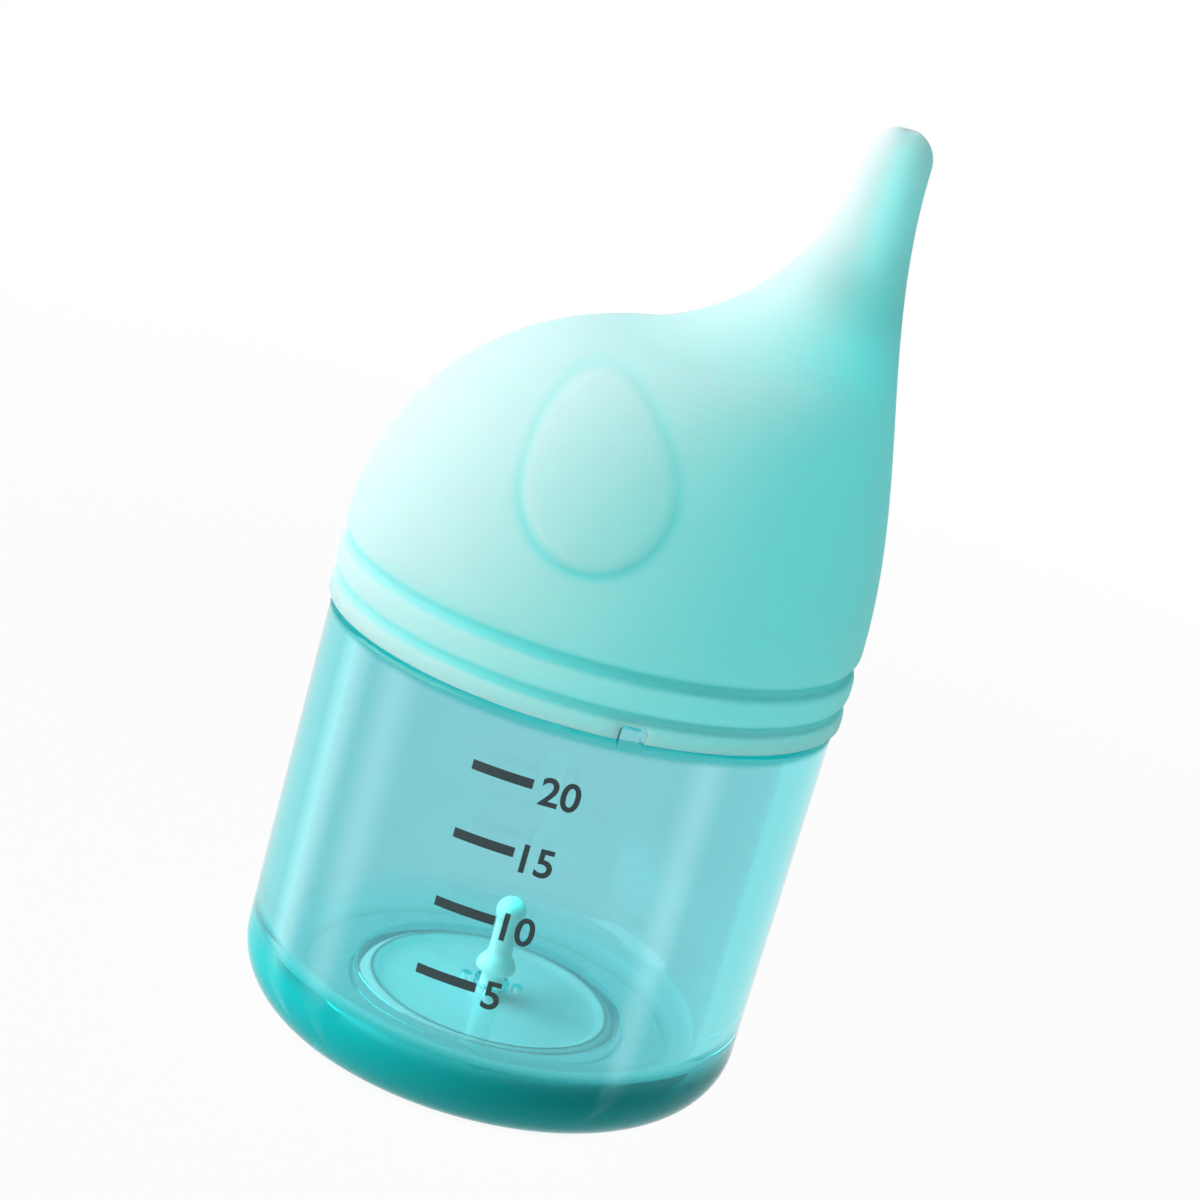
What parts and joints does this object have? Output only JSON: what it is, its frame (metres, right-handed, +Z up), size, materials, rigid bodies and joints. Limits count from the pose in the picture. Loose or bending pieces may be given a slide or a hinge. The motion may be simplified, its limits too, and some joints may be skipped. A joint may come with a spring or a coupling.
{
  "type": "nasal aspirator",
  "caption": "Squeeze-bulb nasal aspirator: a silicone head with an off-centre nozzle pulls off a clear graduated cup with a one-way exhaust valve in its floor.",
  "frame": {"origin": "centre of the cup's foot ring, on the cup's axis, in the plane it stands on", "axes": "+Z up the cup's axis to the nozzle's tip, +X to the side that the nozzle stands over, -Y to the side with the printed scale"},
  "size_m": [0.0408, 0.0408, 0.0777],
  "materials": {
    "clear_cup": "clear, tinted, polished",
    "valve_silicone": "satin silicone",
    "head_silicone": "matte silicone",
    "duckbill_silicone": "satin silicone"
  },
  "bodies": {
    "cup": {"collection_cup": "clear_cup"},
    "exhaust_valve": {"exhaust_valve": "valve_silicone"},
    "head": {"silicone_head": "head_silicone", "duckbill_valve": "duckbill_silicone"}
  },
  "joints": [
    {"name": "head_pull", "type": "slide", "parent": "cup", "child": "head", "axis": [0, 0, 1], "range_m": [0, 0.012]},
    {"name": "valve_lift", "type": "slide", "parent": "cup", "child": "exhaust_valve", "axis": [0, 0, -1], "range_m": [0, 0.0006], "stiffness_N_per_m": 50, "springref_m": -0.001}
  ]
}
